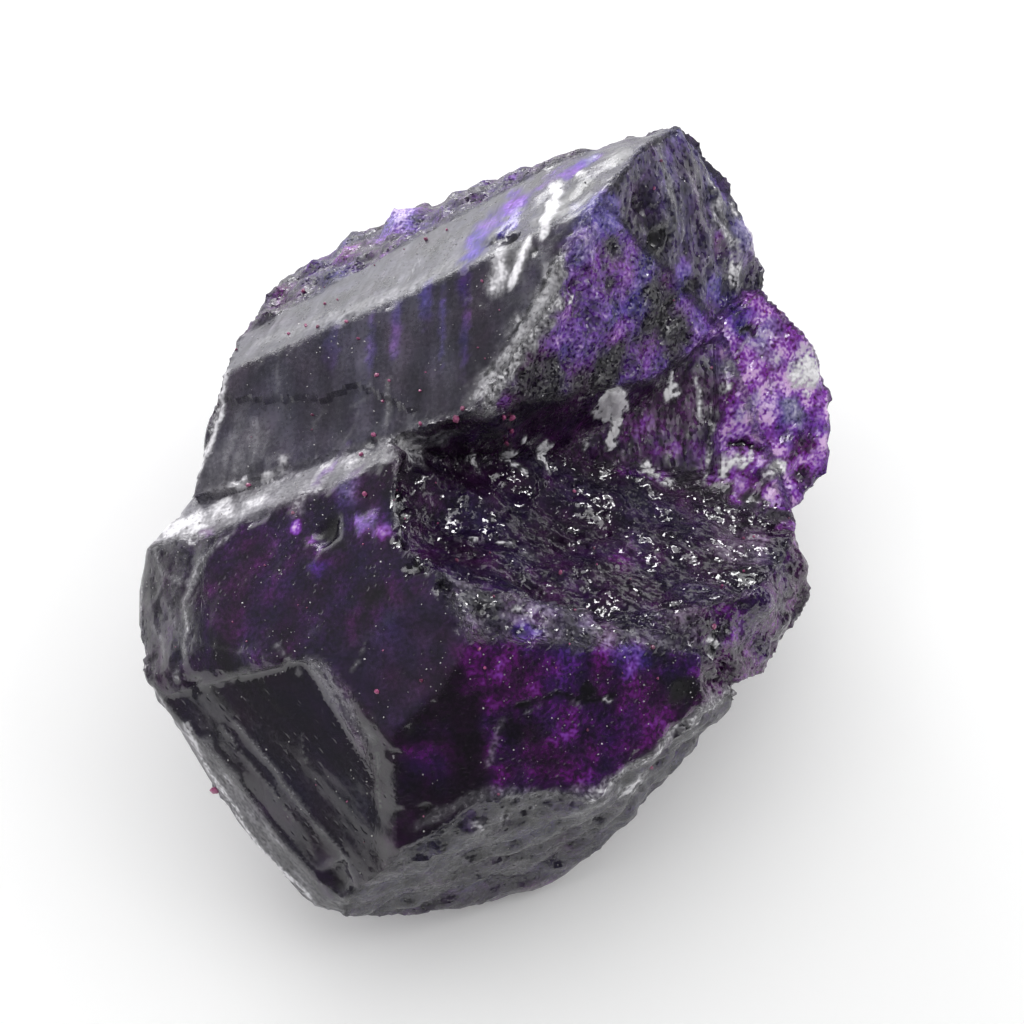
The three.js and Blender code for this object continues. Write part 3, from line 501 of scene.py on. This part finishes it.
def with_modifier(mesh, kind, **settings):
    """A copy of the mesh with one modifier applied."""
    holder = bpy.data.objects.new("holder", mesh)
    bpy.context.scene.collection.objects.link(holder)
    modifier = holder.modifiers.new(kind.title(), kind)
    for name, value in settings.items():
        setattr(modifier, name, value)
    graph = bpy.context.evaluated_depsgraph_get()
    made = bpy.data.meshes.new_from_object(holder.evaluated_get(graph))
    bpy.data.objects.remove(holder)
    return made


def carve_faces(surface):
    """Gives every face its own swell, fracture facets and grain, and its first finish."""
    lay = np.zeros_like(surface.places)
    for name, (swell, wide, broken, broad, grain, *finishes) in FINISH.items():
        share = surface.share[name]
        here = np.nonzero(share > 0.01)[0]
        spots = surface.places[here]
        seed = len(name)
        if name in LAY:
            spots = drawn_out(spots, LAY[name], 1 + np.linalg.norm(LAY[name]))
            lay += np.outer(share, LAY[name])
        relief = swell * lumps(spots, wide, seed)
        if broken:
            relief += broken * facets(spots, broad, seed)
        if grain:
            relief += grain * lumps(spots, 0.7, seed + 1, 3)
        surface.height[here] += share[here] * relief
        for finish, value in zip(FINISHES, finishes):
            surface.add_finish(finish, value * share)
    surface.lay = lay


def mottle(surface):
    """Breaks the finishes up into veils, blotches, and bands along the lay."""
    spots = surface.places
    run = np.einsum("ij,ij->i", spots, surface.lay)
    drawn = spots + surface.lay * (run * (1 / 8 - 1))[:, None]
    veil, blotch = lumps(spots, 3.5, VEILS), lumps(spots, 1.3, BLOTCHES, 3)
    bands, hue = lumps(drawn, 1.3, BANDS, 3), lumps(spots, 4.0, HUES)
    finish = surface.finish
    grit = finish["grit"]
    finish["cloud"] *= np.exp(0.35 * veil + (0.2 + 0.7 * grit) * blotch + 0.25 * bands)
    finish["film_and_sheen"] *= np.exp(0.15 * veil + (0.05 + 0.4 * grit) * blotch + 0.35 * bands)
    finish["rose"] = np.clip(finish["rose"] + 0.35 * hue + 0.2 * blotch, 0, 1)
    finish["frost"] = np.clip(finish["frost"] * (1 + 0.2 * veil + 0.2 * bands), 0, 1)
    worn = 1 - smooth_step(surface.from_edge + 0.15 * blotch, 0.0, 0.35)
    finish["frost"] += (0.25 + 0.5 * grit - finish["frost"]) * worn
    finish["film_and_sheen"] += 0.1 * worn * np.clip(finish["film_and_sheen"] / 0.1, 0, 1) * np.clip(1 + bands, 0, 2)


def near(surface, place, reach):
    """The vertices within some reach of a place, and how far off they are."""
    away = np.linalg.norm(surface.places - place, axis=1)
    here = np.nonzero(away < reach)[0]
    return here, away[here]


def beside(surface, path, margin):
    """The vertices in a ball around a path, with a margin past its ends."""
    return near(surface, np.mean(path, axis=0), np.linalg.norm(np.array(path[0]) - path[-1]) / 2 + margin)[0]


def along_lay(surface, place, radius, number):
    """A ragged spot: its vertices, and a distance that is 1 on its outline. Two radii draw it out along the lay."""
    wide = 1.6      # how far past its radius a ragged outline can reach
    long, short = radius if isinstance(radius, tuple) else (radius, radius)
    here, _ = near(surface, place, long * wide)
    spots = surface.places[here]
    along = surface.lay[here].mean(axis=0)
    along = along / max(np.linalg.norm(along), 1e-6)
    gap = spots - place
    run = gap @ along
    rest = np.linalg.norm(gap - np.outer(run, along), axis=1)
    return here, np.sqrt((run / long) ** 2 + (rest / short) ** 2) + 0.4 * lumps(spots, 0.7 * short + 0.3, number)


def lay_patches(surface):
    for number, (place, radius, *marks) in enumerate(PATCHES):
        here, ragged = along_lay(surface, place, radius, number)
        share = 1 - smooth_step(ragged, 0.4, 1.25)
        for finish, value in zip(MARKED, marks):
            if value is not K:
                surface.mix_finish(finish, here, value, share)


def from_path(spots, path):
    """How far each spot is from a path, and from its nearest stretch: the way there, and the way that it runs."""
    best = np.full(len(spots), 1e9)
    offset = np.zeros((len(spots), 3))
    along = np.zeros((len(spots), 3))
    for start, stop in zip(path, path[1:]):
        start, run = np.array(start, float), np.array(stop, float) - start
        share = np.clip((spots - start) @ run / (run @ run), 0, 1)
        gap = spots - start - np.outer(share, run)
        away = np.linalg.norm(gap, axis=1)
        closer = away < best
        best[closer] = away[closer]
        offset[closer] = gap[closer]
        along[closer] = run / np.linalg.norm(run)
    return best, offset, along


def draw_veins(surface):
    for number, (path, width, rise, *marks) in enumerate(VEINS):
        here = beside(surface, path, 3 * width + 1.5)
        spots = surface.places[here]
        sway = 0.1 * np.stack([lumps(spots, 2.0, number + k) for k in range(3)], axis=1)
        away = from_path(spots + sway, path)[0]
        share = 1 - smooth_step(away / width + 0.3 * lumps(spots, 0.8, number), 0.3, 1.1)
        surface.height[here] += rise * share
        for finish, value in zip(("film_and_sheen", "cloud"), marks):
            surface.mix_finish(finish, here, value, share)


def sink_pits(surface):
    for number, (place, radius, depth) in enumerate(PITS):
        here, away = near(surface, place, radius * 1.8)
        ragged = away / radius + (0.45 if depth > 0 else 0.15) * lumps(surface.places[here], radius, number)
        share = 1 - smooth_step(ragged, 0.2, 1.1)
        surface.height[here] -= depth * share
        # the inside of a pit loses its bloom and milk: painted shade
        if depth > 0:
            surface.mix_finish("frost", here, 0.5, share)
            surface.mix_finish("film_and_sheen", here, 0.0, share)
            surface.finish["cloud"][here] *= 1 - 0.75 * share


def cut_steps(surface):
    for path, drop, width, fade in STEPS_ON_FACES:
        here = beside(surface, path, 1.0 + fade)
        spots = surface.places[here]
        away, offset, along = from_path(spots, path)
        side = np.einsum("ij,ij->i", np.cross(along, surface.normals[here]), offset)
        side = side + 0.15 * lumps(spots, 1.5, STEP_LINE)
        across = np.abs(side) > 0.6 * away
        fall = smooth_step(side, -width / 2, width / 2) * (1 - smooth_step(side, fade * 0.4, fade)) * across
        surface.height[here] -= drop * fall


# Paints white glints: pale streaks that stand in for highlights of the window in the breaks.
def paint_glints(surface):
    for number, (place, radius, white) in enumerate(PAINTED_GLINTS):
        here, ragged = along_lay(surface, place, radius, number)
        share = 1 - smooth_step(ragged + 0.35 * lumps(surface.places[here], 0.6, number), 0.5, 1.15)
        for finish, value in {"film_and_sheen": 1.1 * white, "frost": 0.25, "grit": 0.6}.items():
            surface.mix_finish(finish, here, value, share)
        surface.height[here] += 0.12 * share


def carve(surface, settings):
    """Carves the whole stone, from broad swells to chips within 0.8 mm of its edges, where it is worn round too."""
    carve_faces(surface)
    lay_patches(surface)
    mottle(surface)
    sink_pits(surface)
    cut_steps(surface)
    paint_glints(surface)
    draw_veins(surface)
    edge = 1 - smooth_step(surface.from_edge, 0.1, 0.8)
    chips = np.clip(lumps(surface.places, 1.3, CHIPPING) - 0.25, 0, 1)
    surface.height -= edge * chips * settings.chip / MM
    rounded = surface.average(surface.places, 2, 0.6)
    worn = edge * np.clip(0.35 + 0.6 * chips, 0, 1)
    surface.places += (rounded - surface.places) * worn[:, None]
    normals = unit(surface.average(surface.normals, 4, 0.6))
    above = smooth_step(surface.places[:, 2], 0.0, 1.0)
    surface.places += normals * (surface.height * above)[:, None] * settings.relief
    surface.places[:, 2] = np.maximum(surface.places[:, 2], 0)


class SapphireCrystal(bpy.types.PropertyGroup):
    grain: FloatProperty(
        name="Grain", description="Width of the faces that the stone is carved from",
        default=0.312 * MM, min=0.15 * MM, max=MM, unit="LENGTH")
    relief: FloatProperty(
        name="Relief", description="How much of the carved relief is used", default=1.0, subtype="FACTOR")
    chip: FloatProperty(
        name="Chips", description="Depth of the chips along the edges", default=0.35 * MM, unit="LENGTH")


class SAPPHIRE_OT_crystal(bpy.types.Operator):
    """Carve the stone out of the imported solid"""
    bl_idname = "sapphire.crystal"
    bl_label = "Crystal"

    def execute(self, context):
        settings = context.scene.sapphire_crystal
        solid = read_solid()
        coarse = bpy.data.meshes.new("coarse")
        solid.to_mesh(coarse)
        mesh = with_modifier(coarse, "REMESH", mode="VOXEL", voxel_size=settings.grain / MM)
        mesh.name = "carved_stone"
        surface = Surface(mesh, solid)
        solid.free()
        carve(surface, settings)
        mesh.vertices.foreach_set("co", surface.places.ravel())
        for name, values in surface.finish.items():
            mesh.attributes.new(name, "FLOAT", "POINT").data.foreach_set("value", values)
        mesh.attributes.new("lay", "FLOAT_VECTOR", "POINT").data.foreach_set("vector", surface.lay.ravel())
        mesh.transform(Matrix.Scale(MM, 4))
        mesh.shade_smooth()
        mesh.set_sharp_from_angle(angle=SHARP)
        mesh.materials.clear()
        mesh.materials.append(corundum())
        stone = bpy.data.objects.new("carved_stone", mesh)
        context.scene.collection.objects.link(stone)
        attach(stone, "root")
        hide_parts(STONE)
        return {"FINISHED"}


# Dust and crumbs
# ---------------
# Crumbs that can be told apart: a place and a diameter, in millimetres.
CRUMBS = [
    ((1.3, 3.1, 25), 0.5), ((2, 2.2, 23), 0.4), ((1, 1.6, 21.5), 0.45), ((4.4, -6.2, 20.2), 0.35),
    ((0.1, 3.6, 26), 0.4), ((-8.6, -2.6, 25.3), 0.4), ((-19.9, -18.6, 10.4), 0.7), ((-9.2, 1, 24.6), 0.35),
    ((-8.4, 2.2, 25), 0.35), ((-7.6, -15.9, 23.6), 0.35), ((-4.7, -15.6, 24.7), 0.3), ((-2.6, 1.9, 27.6), 0.5),
    ((-2.1, 2.6, 27.6), 0.4), ((10.6, -11.5, 20.2), 0.35), ((14.6, -8.8, 17.5), 0.4), ((10.8, -17.6, 13.2), 0.5),
]


class SapphireDust(bpy.types.PropertyGroup):
    specks: IntProperty(name="Specks", description="How many specks of dust lie on the stone", default=1500)
    finest: FloatProperty(name="Finest speck", description="Diameter of the finest specks", default=0.045 * MM,
                          unit="LENGTH")
    coarsest: FloatProperty(name="Coarsest speck", description="Diameter of the coarsest specks",
                            default=0.15 * MM, unit="LENGTH")
    colour: FloatVectorProperty(name="Colour", description="Colour of the dust", size=3, subtype="COLOR",
                                default=linear("#dad7da")[:3])


class SapphireCrumbs(bpy.types.PropertyGroup):
    crumbs: IntProperty(name="Crumbs", description="How many crumbs are strewn on the stone", default=80)
    finest: FloatProperty(name="Finest crumb", description="Diameter of the finest crumbs", default=0.125 * MM,
                          unit="LENGTH")
    coarsest: FloatProperty(name="Coarsest crumb", description="Diameter of the coarsest crumbs",
                            default=0.4 * MM, unit="LENGTH")
    colour: FloatVectorProperty(name="Colour", description="Colour of the crumbs", size=3, subtype="COLOR",
                                default=linear("#b35586")[:3])


def strewn(stone, count, finest, coarsest, rng):
    """Places and sizes of bits that settled on the stone's upward surfaces, in drifts, and most of them fine."""
    faces = stone.data.polygons
    normals, middles = values_of(faces, "normal", 3), values_of(faces, "center", 3)
    drifts = np.clip(1 + 1.2 * lumps(middles / MM, 6.0, DRIFTS), 0.05, 3)
    chance = values_of(faces, "area")[:, 0] * np.clip(normals[:, 2] - 0.25, 0, 1) * drifts
    drawn = rng.choice(len(chance), count, p=chance / chance.sum())
    sizes = finest + (coarsest - finest) * rng.uniform(0, 1, count) ** 2
    return [(p + 0.2 * size * n, size) for p, n, size in zip(middles[drawn], normals[drawn], sizes)]


def join_bits(context, name, bits, material, rng):
    """One mesh of many small splinters: rounded grains of twenty faces, squashed and knocked out of shape."""
    shape = bmesh.new()
    for place, size in bits:
        made = bmesh.ops.create_icosphere(shape, subdivisions=1, radius=size / 2)["verts"]
        turn = Vector(rng.normal(size=3)).to_track_quat("Z", "Y")
        squash = Vector(rng.uniform(0.55, 1.15, 3))
        for vert in made:
            vert.co = turn @ (vert.co * (1 + rng.uniform(-0.2, 0.2)) * squash) + Vector(place)
    mesh = bpy.data.meshes.new(name)
    shape.to_mesh(mesh)
    shape.free()
    mesh.materials.append(material)
    piece = bpy.data.objects.new(name, mesh)
    context.scene.collection.objects.link(piece)
    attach(piece, "root")


class SAPPHIRE_OT_dust(bpy.types.Operator):
    """Settle pale rock dust on the stone"""
    bl_idname = "sapphire.dust"
    bl_label = "Dust"

    def execute(self, context):
        settings = context.scene.sapphire_dust
        rng = np.random.default_rng(SEED)
        stone = bpy.data.objects["carved_stone"]
        bits = strewn(stone, settings.specks, settings.finest, settings.coarsest, rng)
        join_bits(context, "dust_specks", bits, crushed("corundum_dust", settings.colour, 0.85), rng)
        return {"FINISHED"}


class SAPPHIRE_OT_crumbs(bpy.types.Operator):
    """Strew magenta splinters broken off the stone"""
    bl_idname = "sapphire.crumbs"
    bl_label = "Crumbs"

    def execute(self, context):
        settings = context.scene.sapphire_crumbs
        rng = np.random.default_rng(SEED + 1)
        stone = bpy.data.objects["carved_stone"]
        bits = strewn(stone, settings.crumbs, settings.finest, settings.coarsest, rng)
        for place, size in CRUMBS:
            _, spot, normal, _ = stone.closest_point_on_mesh(Vector(place) * MM)
            bits.append((spot + normal * 0.25 * size * MM, size * MM))
        join_bits(context, "corundum_crumbs", bits, crushed("corundum_crumbs", settings.colour, 0.3), rng)
        return {"FINISHED"}


# Materials
# ---------
def node(tree, kind, settings=None, *inputs, **named):
    """Adds a node. Its inputs, by order or by name with _ for a space, take a value, a socket or another node."""
    made = tree.nodes.new("ShaderNode" + kind)
    for name, value in (settings or {}).items():
        setattr(made, name, value)
    for key, value in [*enumerate(inputs), *named.items()]:
        if isinstance(key, str):
            key = int(key[1:]) if key[1:].isdigit() else key.replace("_", " ")
        socket = made.inputs[key]
        if isinstance(value, bpy.types.Node):
            value = value.outputs[0]
        if isinstance(value, bpy.types.NodeSocket):
            tree.links.new(value, socket)
        elif value is not None:
            socket.default_value = value
    return made


def new_material(name):
    material = bpy.data.materials.new(name)
    material.use_nodes = True
    material.node_tree.nodes.clear()
    return material, material.node_tree


def corundum():
    """Sapphire, a natural rough crystal: glassy growth faces over black depth, milky violet breaks, grey bloom and
    painted sheen.
    """
    material, tree = new_material("violet_corundum_rough")
    times, add, larger = {"operation": "MULTIPLY"}, {"operation": "ADD"}, {"operation": "MAXIMUM"}
    product_and, colours = {"operation": "MULTIPLY_ADD"}, {"data_type": "RGBA"}
    place = node(tree, "TexCoord").outputs["Object"]
    frost, cloud, rose, film_and_sheen, glitter, grit = (
        node(tree, "Attribute", {"attribute_name": name}).outputs["Fac"] for name in FINISHES)
    lay = node(tree, "Attribute", {"attribute_name": "lay"}).outputs["Vector"]
    run = node(tree, "VectorMath", {"operation": "DOT_PRODUCT"}, place, lay).outputs["Value"]
    shorter = node(tree, "VectorMath", {"operation": "SCALE"}, lay, Scale=node(tree, "Math", times, run, 1 / 7 - 1))
    drawn = node(tree, "VectorMath", add, place, shorter)

    # growth lines and flecks: how uneven every tone below is
    streaks = node(tree, "TexNoise", {}, drawn, Scale=1 / STREAKS, Detail=1.0)
    flecks = node(tree, "TexNoise", {}, place, Scale=1 / FLECKS, Detail=0.0)
    tone = node(tree, "Math", product_and, streaks, 0.55, node(tree, "Math", times, flecks, 0.45))
    swing = node(tree, "MapRange", {}, tone, 0.3, 0.7, -1.0, 1.0)
    uneven = node(tree, "MapRange", {}, grit, 0.0, 1.0, 0.15, 1.1)
    tone = node(tree, "Math", product_and, swing, uneven, 1.0)

    # pores, drawn out a little along the lay: dark dots on the rough faces
    eased = node(tree, "VectorMath", product_and, shorter, (0.6, 0.6, 0.6), place)
    pore = node(tree, "TexVoronoi", {}, eased, Scale=1 / PORES)
    pore = node(tree, "Math", product_and, pore.outputs["Color"], 0.6, pore.outputs["Distance"])
    pore = node(tree, "Math", times, node(tree, "MapRange", {}, pore, 0.3, 0.5, 1.0, 0.0), grit)
    tone = node(tree, "Math", times, tone, node(tree, "MapRange", {}, pore, 0.0, 1.0, 1.0, 0.15))

    # violet inside, from black depth through deep violet or magenta to milky lavender
    milk = node(tree, "Math", times, cloud, tone)
    colour = linear("#070410")
    for low, high, blue, pink in ((0.0, 0.5, "#3a2690", "#651272"), (0.5, 1.1, "#6850c0", "#8f3cbb"),
                                  (1.1, 2.0, "#c4b8ee", "#e4b8ee")):
        tint = node(tree, "Mix", colours, rose, i6=linear(blue), i7=linear(pink)).outputs[2]
        share = node(tree, "MapRange", {}, milk, low, high)
        colour = node(tree, "Mix", colours, share, i6=colour, i7=tint).outputs[2]

    # pale bloom of abrasion and painted sheen, grey where it is thin, and white where it is crushed or painted as a
    # highlight
    bloom_and_sheen = node(tree, "Math", times, film_and_sheen, tone)
    pale = node(tree, "Mix", colours, node(tree, "MapRange", {}, bloom_and_sheen, 0.0, 1.5), i6=linear("#7f7d88"),
                i7=linear("#f6f4f8"))
    colour = node(tree, "Mix", colours, bloom_and_sheen, i6=colour, i7=pale.outputs[2])

    # clear where there is neither milk nor bloom, and matt where it is frosted or crushed
    closed = node(tree, "Math", larger, node(tree, "MapRange", {}, milk, 0.0, 0.7, 0.45, 0.95), bloom_and_sheen)
    clear = node(tree, "Math", {"operation": "SUBTRACT", "use_clamp": True}, 1.0, closed)
    matt = node(tree, "Math", larger, frost, node(tree, "Math", times, bloom_and_sheen, 0.7))
    matt = node(tree, "Math", product_and, flecks, 0.25, matt)
    rough = node(tree, "MapRange", {}, matt, 0.1, 1.2, 0.05, 0.66)

    # fine relief: grain where it is frosted, crinkles and hair-fine fracture facets where it glitters
    grain = node(tree, "TexNoise", {}, drawn, Scale=1 / SAND, Detail=0.0)
    grain = node(tree, "Math", times, grain, node(tree, "MapRange", {}, frost, 0.3, 1.0, 0.0, 0.06))
    crinkle = node(tree, "TexNoise", {}, eased, Scale=1 / CRINKLES, Detail=1.0)
    grain = node(tree, "Math", product_and, crinkle, node(tree, "Math", times, glitter, 0.4), grain)
    grain = node(tree, "Math", product_and, pore, -0.05, grain)
    cells = node(tree, "VectorMath", {"operation": "SCALE"}, eased, Scale=1 / SPLINTERS)
    cell = node(tree, "TexVoronoi", {}, cells, Scale=1.0)
    clean = node(tree, "Math", times, node(tree, "MapRange", {}, cell.outputs["Color"], 0.58, 0.62), glitter)
    rough = node(tree, "Math", times, rough, node(tree, "MapRange", {}, clean, 0.0, 0.6, 1.0, 0.15))
    reach = node(tree, "VectorMath", {"operation": "SUBTRACT"}, cells, cell.outputs["Position"])
    lean = node(tree, "VectorMath", {"operation": "SUBTRACT"}, cell.outputs["Color"], (0.5, 0.5, 0.5))
    facet = node(tree, "VectorMath", {"operation": "DOT_PRODUCT"}, reach, lean).outputs["Value"]
    steep = node(tree, "Math", times, glitter, node(tree, "Math", times, frost, 0.4))
    shatter = node(tree, "Math", times, facet, steep)
    relief = node(tree, "Bump", {}, Strength=1.0, Distance=1 * MM, Height=node(tree, "Math", add, grain, shatter))

    shader = node(tree, "BsdfPrincipled", {}, colour.outputs[2], Roughness=rough, IOR=IOR,
                  Transmission_Weight=clear, Normal=relief)
    depth = node(tree, "VolumeAbsorption", {}, linear("#bc57d1"), DENSITY)
    node(tree, "OutputMaterial", {}, shader, depth)
    return material


def crushed(name, colour, roughness):
    """Crushed corundum: opaque from its countless cracks, a dull powder or a bright splinter by its roughness."""
    material, tree = new_material(name)
    place = node(tree, "TexCoord").outputs["Object"]
    uneven = node(tree, "TexNoise", {}, place, Scale=1 / (0.8 * MM), Detail=1.0)
    shade = node(tree, "MapRange", {}, uneven, 0.35, 0.65)
    bright, dark = [*colour, 1.0], [*(0.35 * part for part in colour), 1.0]
    mixed = node(tree, "Mix", {"data_type": "RGBA"}, shade, i6=dark, i7=bright)
    shader = node(tree, "BsdfPrincipled", {}, mixed.outputs[2], Roughness=roughness, IOR=IOR)
    node(tree, "OutputMaterial", {}, shader)
    return material


def paper():
    """Plain white backdrop paper, matt and uncoated, with a little light coming through it from below."""
    material, tree = new_material("white_paper")
    shader = node(tree, "BsdfPrincipled", {}, linear("#f6f6f6"), Roughness=0.8, Emission_Color=linear("#ffffff"),
                  Emission_Strength=0.14)
    node(tree, "OutputMaterial", {}, shader)
    return material


# Stage
# -----
def towards(azimuth, elevation):
    """The unit vector to a compass place: azimuth 0 is +Y and 90 is +X, both in degrees."""
    turn, rise = math.radians(azimuth), math.radians(elevation)
    return Vector((math.sin(turn) * math.cos(rise), math.cos(turn) * math.cos(rise), math.sin(rise)))


# Lights: a name, azimuth and elevation in degrees, then in metres how far off it hangs, its width and its depth,
# its share of the radiance set under that name, and the rays that don't see it.
LIGHTS = [
    ("window", -23, 14, 0.24, 0.12, 0.07, 1, "camera"), ("spark", 35, 58, 0.4, 0.1, 0.1, 1, "diffuse"),
    ("softbox", 0, 85, 0.4, 0.28, 0.28, 1, "diffuse"), ("ceiling", 5, 58, 0.42, 0.75, 0.75, 1, "glossy"),
    ("fill", 82, 30, 0.42, 0.4, 0.4, 1, "glossy"), ("fill", -88, 30, 0.42, 0.4, 0.4, 0.9, "glossy"),
]
AIM = Vector((1.15, 1.4, 14)) * MM      # the point in the stone that the camera and the lights are turned to
LENS, SENSOR = 80, 36                   # focal length and width of the camera's sensor, in millimetres
FLOOR = 0.28                            # half the width of the floor, in metres


class SapphireStage(bpy.types.PropertyGroup):
    elevation: FloatProperty(name="Camera height", description="Camera's angle above the horizon",
                             default=math.radians(65), subtype="ANGLE")
    distance: FloatProperty(name="Camera distance", description="From the camera to the point it aims at",
                            default=163.84 * MM, unit="LENGTH")
    window: FloatProperty(name="Window", description="Radiance of the window", default=8.0)
    spark: FloatProperty(name="Spark", description="Radiance of the lamp that glints in the breaks", default=16.0)
    softbox: FloatProperty(name="Softbox", description="Radiance of the soft light overhead", default=2.5)
    ceiling: FloatProperty(name="Ceiling", description="Radiance of the wide light overhead", default=1.15)
    fill: FloatProperty(name="Fill", description="Radiance of the fills at both sides", default=1.45)
    backdrop: FloatProperty(name="Backdrop", description="Radiance of the sweep behind the stone", default=1.6)


class SAPPHIRE_OT_stage(bpy.types.Operator):
    """Make the floor, the window light, the room's glow and the camera"""
    bl_idname = "sapphire.stage"
    bl_label = "Stage"

    def execute(self, context):
        settings = context.scene.sapphire_stage
        shape = bmesh.new()
        bmesh.ops.create_grid(shape, x_segments=1, y_segments=1, size=FLOOR)
        floor = bpy.data.objects.new("floor", bpy.data.meshes.new("floor"))
        shape.to_mesh(floor.data)
        shape.free()
        floor.data.materials.append(paper())
        context.scene.collection.objects.link(floor)
        for name, azimuth, elevation, distance, width, depth, share, unseen in LIGHTS:
            light = self.light(name, width, depth, share * getattr(settings, name))
            self.place(context, light, towards(azimuth, elevation), distance)
            setattr(light, "visible_" + unseen, False)
        self.light_room(context.scene, settings.backdrop)
        lens = bpy.data.cameras.new("camera")
        lens.lens, lens.sensor_width, lens.clip_start = LENS, SENSOR, 0.01
        camera = bpy.data.objects.new("camera", lens)
        self.place(context, camera, towards(180, math.degrees(settings.elevation)), settings.distance)
        context.scene.camera = camera
        context.scene.view_settings.view_transform = "Standard"
        return {"FINISHED"}

    def place(self, context, made, away, distance):
        """Puts a light or the camera some way off and turns it to the stone."""
        made.location = AIM + away * distance
        made.rotation_euler = away.to_track_quat("Z", "Y").to_euler()
        context.scene.collection.objects.link(made)

    def light(self, name, width, depth, radiance):
        """A rectangle of soft light, as bright as a surface of that radiance."""
        lamp = bpy.data.lights.new(name, "AREA")
        lamp.shape = "RECTANGLE"
        lamp.size, lamp.size_y = width, depth
        lamp.energy = radiance * math.pi * width * depth
        light = bpy.data.objects.new(name, lamp)
        light.visible_camera = False
        return light

    def light_room(self, scene, backdrop):
        """A dim room, a little brighter on the left, with the bright sweep of the backdrop low behind the stone."""
        world = bpy.data.worlds.new("room")
        world.use_nodes = True
        tree = world.node_tree
        tree.nodes.clear()
        smooth = {"interpolation_type": "SMOOTHSTEP"}
        times, add = {"operation": "MULTIPLY"}, {"operation": "ADD"}
        seen = node(tree, "TexCoord").outputs["Generated"]
        left = node(tree, "VectorMath", {"operation": "DOT_PRODUCT"}, seen, towards(-75, 25)).outputs["Value"]
        back = node(tree, "VectorMath", {"operation": "DOT_PRODUCT"}, seen, towards(-10, 0)).outputs["Value"]
        height = node(tree, "SeparateXYZ", {}, seen).outputs["Z"]
        glow = node(tree, "MapRange", smooth, left, -0.3, 1.0, 0.12, 0.30)
        sweep = node(tree, "Math", times, node(tree, "MapRange", smooth, back, 0.1, 0.9, 0.0, backdrop),
                     node(tree, "MapRange", smooth, height, 0.12, 0.38, 1.0, 0.0))
        shine = node(tree, "Background", {}, Strength=node(tree, "Math", add, glow, sweep))
        node(tree, "OutputWorld", {}, shine)
        scene.world = world


class SAPPHIRE_PT_panel(bpy.types.Panel):
    """Lists the stone's pieces in the sidebar"""
    bl_idname = "SAPPHIRE_PT_panel"
    bl_label = "Rough Sapphire"
    bl_space_type = "VIEW_3D"
    bl_region_type = "UI"
    bl_category = "Sapphire"

    def draw(self, context):
        for operator, group in STEPS:
            box = self.layout.box()
            box.operator(operator.bl_idname)
            settings = getattr(context.scene, group)
            for name in settings.__annotations__:
                box.prop(settings, name)


STEPS = [(SAPPHIRE_OT_crystal, "sapphire_crystal"), (SAPPHIRE_OT_dust, "sapphire_dust"),
         (SAPPHIRE_OT_crumbs, "sapphire_crumbs"), (SAPPHIRE_OT_stage, "sapphire_stage")]
SETTINGS = {"sapphire_crystal": SapphireCrystal, "sapphire_dust": SapphireDust, "sapphire_crumbs": SapphireCrumbs,
            "sapphire_stage": SapphireStage}
CLASSES = [*SETTINGS.values(), *(operator for operator, _ in STEPS), SAPPHIRE_PT_panel]


def register():
    for made in CLASSES:
        bpy.utils.register_class(made)
    for name, group in SETTINGS.items():
        setattr(bpy.types.Scene, name, PointerProperty(type=group))


def unregister():
    for name in SETTINGS:
        delattr(bpy.types.Scene, name)
    for made in reversed(CLASSES):
        bpy.utils.unregister_class(made)


def main():
    register()
    bpy.ops.sapphire.crystal()
    bpy.ops.sapphire.dust()
    bpy.ops.sapphire.crumbs()
    bpy.ops.sapphire.stage()


if __name__ == "__main__":
    main()
